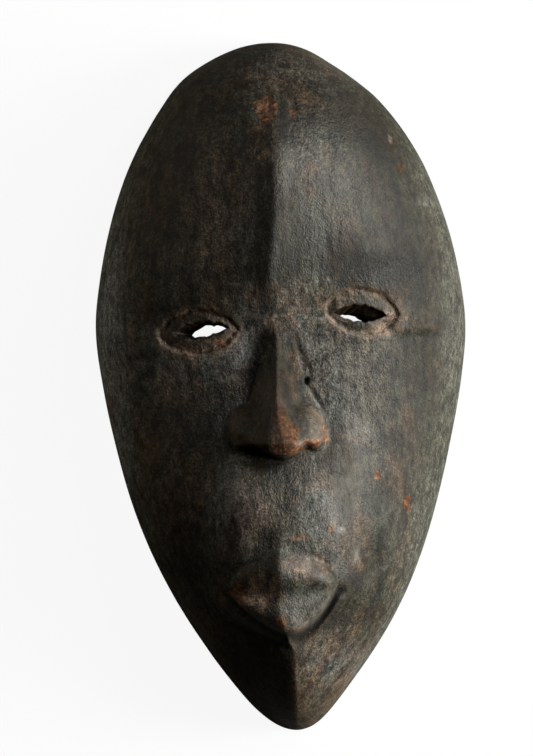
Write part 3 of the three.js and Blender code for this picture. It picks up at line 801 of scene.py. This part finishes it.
# shader helpers
def newGroup(name, inputs, outputs):
    tree = bpy.data.node_groups.new(name, "ShaderNodeTree")
    for label, kind, value in inputs:
        socket = tree.interface.new_socket(label, in_out="INPUT", socket_type=kind)
        socket.default_value = value
    for label, kind in outputs:
        tree.interface.new_socket(label, in_out="OUTPUT", socket_type=kind)
    return tree, tree.nodes.new("NodeGroupInput"), tree.nodes.new("NodeGroupOutput")


def node(tree, kind, links=None, **settings):
    made = tree.nodes.new(kind)
    for name, value in settings.items():
        setattr(made, name, value)
    for name, value in (links or {}).items():
        target = made.inputs[name]
        if isinstance(value, bpy.types.NodeSocket):
            tree.links.new(value, target)
        else:
            target.default_value = value
    return made


def math2(tree, operation, a, b, clamp=False):
    return node(tree, "ShaderNodeMath", {0: a, 1: b}, operation=operation, use_clamp=clamp).outputs[0]


def times(tree, a, b):
    return math2(tree, "MULTIPLY", a, b)


def plus(tree, a, b, clamp=False):
    return math2(tree, "ADD", a, b, clamp)


def blend(tree, factor, a, b, kind="MIX"):
    made = node(tree, "ShaderNodeMix", {0: factor, 6: a, 7: b}, data_type="RGBA", blend_type=kind)
    return made.outputs[2]


def shaded(tree, color, mask, dark, light):
    # colour darkened and lightened by a mask
    return blend(tree, 1.0, color, blend(tree, mask, (*dark, 1), (*light, 1)), "MULTIPLY")


def noiseOn(tree, place, scale, detail, roughness):
    return node(tree, "ShaderNodeTexNoise", {
        "Vector": place, "Scale": scale, "Detail": detail, "Roughness": roughness}).outputs[0]


def ramp(tree, value, low, high):
    return node(tree, "ShaderNodeMapRange", {"Value": value, "From Min": low, "From Max": high},
                interpolation_type="SMOOTHSTEP").outputs[0]


def buildFibreGrain():
    # short fibres along the face: a streak mask, a grainy mask and a height for bumps
    tree, start, end = newGroup("fibreGrain", [
        ("Fibre width", "NodeSocketFloat", 0.0006), ("Stretch", "NodeSocketFloat", 9.0),
        ("Grain size", "NodeSocketFloat", 0.0006)],
        [("Streaks", "NodeSocketFloat"), ("Grains", "NodeSocketFloat"), ("Height", "NodeSocketFloat")])
    place = node(tree, "ShaderNodeTexCoord").outputs["Object"]
    across = math2(tree, "DIVIDE", 1.0, start.outputs["Fibre width"])
    along = math2(tree, "DIVIDE", across, start.outputs["Stretch"])
    scale = node(tree, "ShaderNodeCombineXYZ", {"X": across, "Y": along, "Z": across}).outputs[0]
    scaled = node(tree, "ShaderNodeVectorMath", {0: place, 1: scale}, operation="MULTIPLY").outputs[0]
    fine = noiseOn(tree, scaled, 1.0, 2.0, 0.6)
    wide = noiseOn(tree, scaled, 0.33, 1.0, 0.5)
    grains = noiseOn(tree, place, math2(tree, "DIVIDE", 1.0, start.outputs["Grain size"]), 2.0, 0.7)
    streaks = plus(tree, times(tree, fine, 0.65), times(tree, wide, 0.35))
    tree.links.new(ramp(tree, streaks, 0.36, 0.64), end.inputs["Streaks"])
    tree.links.new(ramp(tree, grains, 0.34, 0.66), end.inputs["Grains"])
    high = plus(tree, times(tree, fine, 0.6), times(tree, wide, 0.7))
    tree.links.new(plus(tree, high, times(tree, grains, 0.5)), end.inputs["Height"])
    return tree


def buildDustSpecks():
    # tiny pale specks that sit in the pores
    tree, start, end = newGroup("dustSpecks", [
        ("Spacing", "NodeSocketFloat", 0.0016), ("Size", "NodeSocketFloat", 0.16)],
        [("Specks", "NodeSocketFloat")])
    place = node(tree, "ShaderNodeTexCoord").outputs["Object"]
    scale = math2(tree, "DIVIDE", 1.0, start.outputs["Spacing"])
    cells = node(tree, "ShaderNodeTexVoronoi", {"Vector": place, "Scale": scale, "Randomness": 1.0})
    patchy = noiseOn(tree, place, 70.0, 3.0, 0.5)
    size = times(tree, start.outputs["Size"], ramp(tree, patchy, 0.42, 0.72))
    tree.links.new(math2(tree, "LESS_THAN", cells.outputs["Distance"], size), end.inputs["Specks"])
    return tree


def buildBareWood():
    # broken edge for a worn patch, and the colour of the wood that shows there
    tree, start, end = newGroup("bareWood", [
        ("Worn", "NodeSocketFloat", 0.0), ("Dark", "NodeSocketColor", (0.075, 0.022, 0.007, 1)),
        ("Light", "NodeSocketColor", (0.27, 0.115, 0.038, 1))],
        [("Mask", "NodeSocketFloat"), ("Color", "NodeSocketColor")])
    place = node(tree, "ShaderNodeTexCoord").outputs["Object"]
    stretched = node(tree, "ShaderNodeMapping", {"Vector": place, "Scale": (520, 240, 520)}).outputs[0]
    broken = noiseOn(tree, stretched, 1.0, 5.0, 0.65)
    tint = noiseOn(tree, place, 620.0, 4.0, 0.5)
    ragged = times(tree, math2(tree, "SUBTRACT", broken, 0.5), 1.3)
    edge = plus(tree, start.outputs["Worn"], ragged)
    tree.links.new(ramp(tree, edge, 0.28, 0.8), end.inputs["Mask"])
    tinted = blend(tree, ramp(tree, tint, 0.35, 0.68), start.outputs["Dark"], start.outputs["Light"])
    tree.links.new(tinted, end.inputs["Color"])
    return tree


fibreGrain, dustSpecks, bareWood = buildFibreGrain(), buildDustSpecks(), buildBareWood()

patina = dict(
    base=(0.060, 0.050, 0.034, 1), green=(0.060, 0.060, 0.044, 1), brown=(0.082, 0.056, 0.034, 1),
    black=(0.006, 0.0052, 0.004, 1), warm=(0.17, 0.105, 0.06, 1), paleAndHighlight=(0.36, 0.335, 0.29, 1),
    flank=(0.105, 0.104, 0.083, 1), roughness=0.35, grainBump=0.75, specular=0.28,
    mattSides=0.22,
)


def useGroup(tree, group, **values):
    made = tree.nodes.new("ShaderNodeGroup")
    made.node_tree = group
    for name, value in values.items():
        target = made.inputs[name.replace("_", " ")]
        if isinstance(value, bpy.types.NodeSocket):
            tree.links.new(value, target)
        else:
            target.default_value = value
    return made


def newMaterial(name):
    material = bpy.data.materials.new(name)
    material.use_nodes = True
    tree = material.node_tree
    shader = next(n for n in tree.nodes if n.type == "BSDF_PRINCIPLED")
    return material, tree, shader


def attribute(tree, name):
    return node(tree, "ShaderNodeAttribute", attribute_name=name).outputs["Fac"]


def darkPatina():
    material, tree, shader = newMaterial("darkPatina")
    place = node(tree, "ShaderNodeTexCoord").outputs["Object"]

    def clouds(scaleX, scaleY, detail, low, high):
        scale = (scaleX, scaleY, scaleX)
        scaled = node(tree, "ShaderNodeMapping", {"Vector": place, "Scale": scale}).outputs[0]
        return ramp(tree, noiseOn(tree, scaled, 1.0, detail, 0.62), low, high)

    fibres = useGroup(tree, fibreGrain, Fibre_width=0.00045, Stretch=1.6, Grain_size=0.0008)
    specks = useGroup(tree, dustSpecks, Spacing=0.0017, Size=0.15)
    worn = useGroup(tree, bareWood, Worn=attribute(tree, "rubbed"))
    # broad areas of the old surface: greenish grey, brown and nearly black crust; the black also lays
    # painted shade from the soot patches and the hollows
    color = blend(tree, clouds(75, 34, 4.0, 0.4, 0.6), patina["base"], patina["green"])
    color = blend(tree, clouds(95, 52, 6.0, 0.5, 0.66), color, patina["brown"])
    brownish = times(tree, attribute(tree, "brown"), clouds(210, 120, 5.0, 0.3, 0.55))
    color = blend(tree, brownish, color, patina["warm"])
    crustAndShade = times(tree, clouds(160, 95, 6.0, 0.45, 0.62), 0.75)
    sootAndShadeAmount = times(tree, attribute(tree, "sootAndShade"), clouds(260, 150, 6.0, 0.3, 0.52))
    crustAndShade = math2(tree, "MAXIMUM", crustAndShade, sootAndShadeAmount)
    crustAndShade = math2(tree, "MAXIMUM", crustAndShade, attribute(tree, "groove"))
    color = blend(tree, times(tree, crustAndShade, 0.85), color, patina["black"])
    # greyer and lighter towards the rim: grey dust, and painted light along the rim
    greyed = times(tree, attribute(tree, "flank"), clouds(130, 60, 5.0, 0.25, 0.6))
    color = blend(tree, greyed, color, patina["flank"])
    # mottling, fibres and grains over all of it
    streaks, grains = fibres.outputs["Streaks"], fibres.outputs["Grains"]
    mottle = clouds(430, 250, 5.0, 0.33, 0.67)
    color = shaded(tree, color, mottle, (0.56, 0.56, 0.57), (1.52, 1.51, 1.49))
    color = shaded(tree, color, streaks, (0.58, 0.58, 0.59), (1.48, 1.47, 1.45))
    color = shaded(tree, color, grains, (0.6, 0.6, 0.61), (1.5, 1.49, 1.47))
    rub = times(tree, attribute(tree, "crest"), clouds(240, 130, 5.0, 0.35, 0.6))
    color = blend(tree, times(tree, rub, 0.5), color, patina["warm"])
    bare = shaded(tree, worn.outputs["Color"], grains, (0.5, 0.46, 0.42), (1.4, 1.4, 1.4))
    color = blend(tree, worn.outputs["Mask"], color, bare)
    # painted light and shade from the factor per point, with some real patina: lighter areas are
    # greyer, darker ones warmer
    toneAndPaintedShading = attribute(tree, "toneAndPaintedShading")
    green, blue = math2(tree, "POWER", toneAndPaintedShading, 1.06), math2(tree, "POWER", toneAndPaintedShading, 1.3)
    shade = node(tree, "ShaderNodeCombineColor", {"Red": toneAndPaintedShading, "Green": green, "Blue": blue})
    color = blend(tree, 1.0, color, shade.outputs[0], "MULTIPLY")
    # light-coloured dust and wear, with painted highlights on the nose tip, lips and right cheek
    light = times(tree, attribute(tree, "paleAndHighlight"), clouds(420, 300, 5.0, 0.36, 0.6))
    color = blend(tree, light, color, patina["paleAndHighlight"])
    color = blend(tree, times(tree, specks.outputs["Specks"], 0.35), color, patina["paleAndHighlight"])
    tree.links.new(color, shader.inputs["Base Color"])
    rough = plus(tree, patina["roughness"], times(tree, grains, 0.22))
    rough = plus(tree, rough, times(tree, attribute(tree, "matt"), patina["mattSides"]))
    rough = plus(tree, rough, times(tree, attribute(tree, "groove"), 0.3))
    rough = plus(tree, rough, times(tree, worn.outputs["Mask"], 0.1), True)
    tree.links.new(rough, shader.inputs["Roughness"])
    shader.inputs["Specular IOR Level"].default_value = patina["specular"]
    bump = node(tree, "ShaderNodeBump", {
        "Strength": patina["grainBump"], "Distance": 0.0004, "Height": fibres.outputs["Height"]})
    tree.links.new(bump.outputs[0], shader.inputs["Normal"])
    return material


hollowWood = dict(
    dark=(0.022, 0.014, 0.009, 1), light=(0.075, 0.043, 0.024, 1), roughness=0.6, grainBump=0.5,
)


def innerWood():
    material, tree, shader = newMaterial("innerWood")
    place = node(tree, "ShaderNodeTexCoord").outputs["Object"]
    long = node(tree, "ShaderNodeMapping", {"Vector": place, "Scale": (90, 26, 90)}).outputs[0]
    clouds = ramp(tree, noiseOn(tree, long, 1.0, 5.0, 0.6), 0.35, 0.68)
    fibres = useGroup(tree, fibreGrain, Fibre_width=0.0009, Stretch=10.0)
    specks = useGroup(tree, dustSpecks, Spacing=0.003, Size=0.15)
    color = blend(tree, clouds, hollowWood["dark"], hollowWood["light"])
    streaks = ramp(tree, fibres.outputs["Streaks"], 0.3, 0.75)
    color = shaded(tree, color, streaks, (0.6, 0.6, 0.6), (1.35, 1.3, 1.25))
    color = blend(tree, times(tree, specks.outputs["Specks"], 0.35), color, patina["paleAndHighlight"])
    tree.links.new(color, shader.inputs["Base Color"])
    rough = plus(tree, hollowWood["roughness"], times(tree, fibres.outputs["Streaks"], 0.2), True)
    tree.links.new(rough, shader.inputs["Roughness"])
    shader.inputs["Specular IOR Level"].default_value = 0.4
    bump = node(tree, "ShaderNodeBump", {
        "Strength": hollowWood["grainBump"], "Distance": 0.0003, "Height": fibres.outputs["Height"]})
    tree.links.new(bump.outputs[0], shader.inputs["Normal"])
    return material


faceFinish, hollowFinish = darkPatina(), innerWood()
print("finishes ready")

# tool marks follow the surface: scoops of the gouge in the hollow, fine knife facets on the face
tooling = dict(gougeWidth=0.011, gougeDepth=0.0008, facetWidth=0.006, facetDepth=0.00013, seed=3.7)


def buildToolMarks():
    tree = bpy.data.node_groups.new("toolMarks", "GeometryNodeTree")
    tree.interface.new_socket("Geometry", in_out="INPUT", socket_type="NodeSocketGeometry")
    for label in ("Gouge width", "Gouge depth", "Facet width", "Facet depth", "Seed"):
        tree.interface.new_socket(label, in_out="INPUT", socket_type="NodeSocketFloat")
    for label in ("Face finish", "Hollow finish"):
        tree.interface.new_socket(label, in_out="INPUT", socket_type="NodeSocketMaterial")
    tree.interface.new_socket("Geometry", in_out="OUTPUT", socket_type="NodeSocketGeometry")
    start, end = tree.nodes.new("NodeGroupInput"), tree.nodes.new("NodeGroupOutput")
    inside = node(tree, "GeometryNodeInputNamedAttribute", {"Name": "hollow"}, data_type="FLOAT")
    inside = inside.outputs[0]
    place = node(tree, "GeometryNodeInputPosition").outputs[0]

    def moveBy(kind, a, b):
        return node(tree, "ShaderNodeVectorMath", {0: a, 1: b}, operation=kind).outputs[0]

    def scoops(width, depth, long):
        scale = node(tree, "ShaderNodeCombineXYZ", {"X": 1.0, "Y": long, "Z": 1.0}).outputs[0]
        moved = moveBy("ADD", moveBy("MULTIPLY", place, scale), start.outputs["Seed"])
        frequency = math2(tree, "DIVIDE", 1.0, width)
        away = node(tree, "ShaderNodeTexVoronoi", {"Vector": moved, "Scale": frequency},
                    voronoi_dimensions="3D").outputs["Distance"]
        bowl = math2(tree, "SUBTRACT", 1.0, times(tree, away, away), True)
        return times(tree, bowl, depth)

    gouges = scoops(start.outputs["Gouge width"], start.outputs["Gouge depth"], 0.45)
    facets = scoops(start.outputs["Facet width"], start.outputs["Facet depth"], 0.4)
    outside = math2(tree, "SUBTRACT", 1.0, inside)
    depth = plus(tree, times(tree, gouges, inside), times(tree, facets, outside))
    # the rim and everything close to the ground keep their shape
    up = node(tree, "ShaderNodeSeparateXYZ", {0: place}).outputs[2]
    clear = node(tree, "ShaderNodeMapRange", {"Value": up, "From Min": 0.0015, "From Max": 0.007},
                 interpolation_type="SMOOTHSTEP").outputs[0]
    depth = times(tree, depth, times(tree, clear, -1.0))
    normal = node(tree, "GeometryNodeInputNormal").outputs[0]
    offset = node(tree, "ShaderNodeVectorMath", {0: normal, "Scale": depth},
                  operation="SCALE").outputs[0]
    moved = node(tree, "GeometryNodeSetPosition", {
        "Geometry": start.outputs["Geometry"], "Offset": offset})
    real = node(tree, "GeometryNodeRealizeInstances", {"Geometry": moved.outputs[0]})
    first = node(tree, "GeometryNodeSetMaterial", {
        "Geometry": real.outputs[0], "Material": start.outputs["Face finish"]})
    deep = node(tree, "ShaderNodeMath", {0: inside, 1: 0.5}, operation="GREATER_THAN").outputs[0]
    second = node(tree, "GeometryNodeSetMaterial", {
        "Geometry": first.outputs[0], "Selection": deep, "Material": start.outputs["Hollow finish"]})
    tree.links.new(second.outputs[0], end.inputs[0])
    return tree


def applyToolMarks(obj):
    tree = buildToolMarks()
    modifier = obj.modifiers.new("toolMarks", "NODES")
    modifier.node_group = tree
    sockets = {item.name: item.identifier
               for item in tree.interface.items_tree if item.in_out == "INPUT"}
    values = {
        "Gouge width": tooling["gougeWidth"], "Gouge depth": tooling["gougeDepth"],
        "Facet width": tooling["facetWidth"], "Facet depth": tooling["facetDepth"],
        "Seed": tooling["seed"], "Face finish": faceFinish, "Hollow finish": hollowFinish,
    }
    for name, value in values.items():
        modifier[sockets[name]] = value
    graph = bpy.context.evaluated_depsgraph_get()
    made = bpy.data.meshes.new_from_object(
        obj.evaluated_get(graph), preserve_all_data_layers=True, depsgraph=graph)
    obj.modifiers.remove(modifier)
    obj.data = made
    made.shade_smooth()


applyToolMarks(maskPiece)
print("tool marks cut, finishes on", [m.name for m in maskPiece.data.materials])
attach(maskPiece, "root")
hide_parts("carved_mask")


# floor: a pale table lit from below, so that the pierced eyes read light and shadows stay faint
floorLook = dict(size=6.0, under=0.0002, color=(0.1, 0.1, 0.098, 1), glow=0.92, roughness=0.9)


def makeFloor():
    half, z = floorLook["size"] / 2, -floorLook["under"]
    mesh = bpy.data.meshes.new("paleFloor")
    mesh.from_pydata([(-half, -half, z), (half, -half, z), (half, half, z), (-half, half, z)],
                     [], [(0, 1, 2, 3)])
    floor = bpy.data.objects.new("pale_floor", mesh)
    bpy.context.scene.collection.objects.link(floor)
    material, tree, shader = newMaterial("paleTable")
    shader.inputs["Base Color"].default_value = floorLook["color"]
    shader.inputs["Roughness"].default_value = floorLook["roughness"]
    shader.inputs["Emission Color"].default_value = (1, 1, 1, 1)
    seen = node(tree, "ShaderNodeLightPath").outputs["Is Camera Ray"]
    tree.links.new(times(tree, seen, floorLook["glow"]), shader.inputs["Emission Strength"])
    mesh.materials.append(material)


# soft light from the right and above, weak light from all round; distances in metres
studio = dict(
    keyPlace=(1.08, -0.02, 0.36), keySize=(0.4, 0.8), keyPower=21.5, keyColor=(0.99, 1.0, 0.97),
    fillPlace=(-0.95, 0.6, 0.06), fillSize=(0.5, 0.12), fillPower=1.25, fillColor=(1.0, 0.9, 0.7),
    sheenPlace=(0.64, 0.52, 0.64), sheenSize=(0.34, 0.56), sheenPower=17.5,
    sheenColor=(1.0, 0.98, 0.91), around=0.01, backdrop=0.8,
)


def makeAreaLight(name, place, size, power, color):
    data = bpy.data.lights.new(name, "AREA")
    data.shape = "RECTANGLE"
    data.size, data.size_y = size
    data.energy = power
    data.color = color
    light = bpy.data.objects.new(name, data)
    bpy.context.scene.collection.objects.link(light)
    light.location = place
    light.rotation_euler = (-Vector(place)).to_track_quat("-Z", "Y").to_euler()
    return light


def makeStudio():
    for name in ("key", "fill", "sheen"):
        light = makeAreaLight(name + "Softbox", studio[name + "Place"], studio[name + "Size"],
                              studio[name + "Power"], studio[name + "Color"])
        light.visible_diffuse = name != "sheen"
    world = bpy.data.worlds.new("paleRoom")
    world.use_nodes = True
    back = next(n for n in world.node_tree.nodes if n.type == "BACKGROUND")
    back.inputs["Color"].default_value = (1, 0.98, 0.93, 1)
    seen = node(world.node_tree, "ShaderNodeLightPath").outputs["Is Camera Ray"]
    strength = node(world.node_tree, "ShaderNodeMapRange", {
        "Value": seen, "To Min": studio["around"], "To Max": studio["backdrop"]}).outputs[0]
    world.node_tree.links.new(strength, back.inputs["Strength"])
    bpy.context.scene.world = world
    bpy.context.scene.view_settings.view_transform = "Standard"


# camera straight above; the mask leans a little in the picture and sits off its middle
picture = dict(
    width=533, height=756, maskX=283.0, maskY=386.4, mmPerPixel=0.34975, lean=2.42, lens=120.0,
)


def makeCamera():
    data = bpy.data.cameras.new("copyStand")
    data.lens = picture["lens"]
    data.sensor_width = 36.0
    data.clip_start, data.clip_end = 0.05, 20
    pixel = picture["mmPerPixel"] * mm
    distance = pixel * picture["height"] / data.sensor_width * data.lens
    lean = math.radians(picture["lean"])
    right = Vector((math.cos(lean), -math.sin(lean), 0))
    up = Vector((math.sin(lean), math.cos(lean), 0))
    aside = (picture["maskX"] - picture["width"] / 2) * pixel
    below = (picture["maskY"] - picture["height"] / 2) * pixel
    camera = bpy.data.objects.new("copyStand", data)
    bpy.context.scene.collection.objects.link(camera)
    turn = Matrix((right, up, Vector((0, 0, 1)))).transposed().to_4x4()
    place = -right * aside + up * below + Vector((0, 0, distance))
    camera.matrix_world = Matrix.Translation(place) @ turn
    bpy.context.scene.camera = camera


makeFloor()
makeStudio()
makeCamera()
print("scene ready")
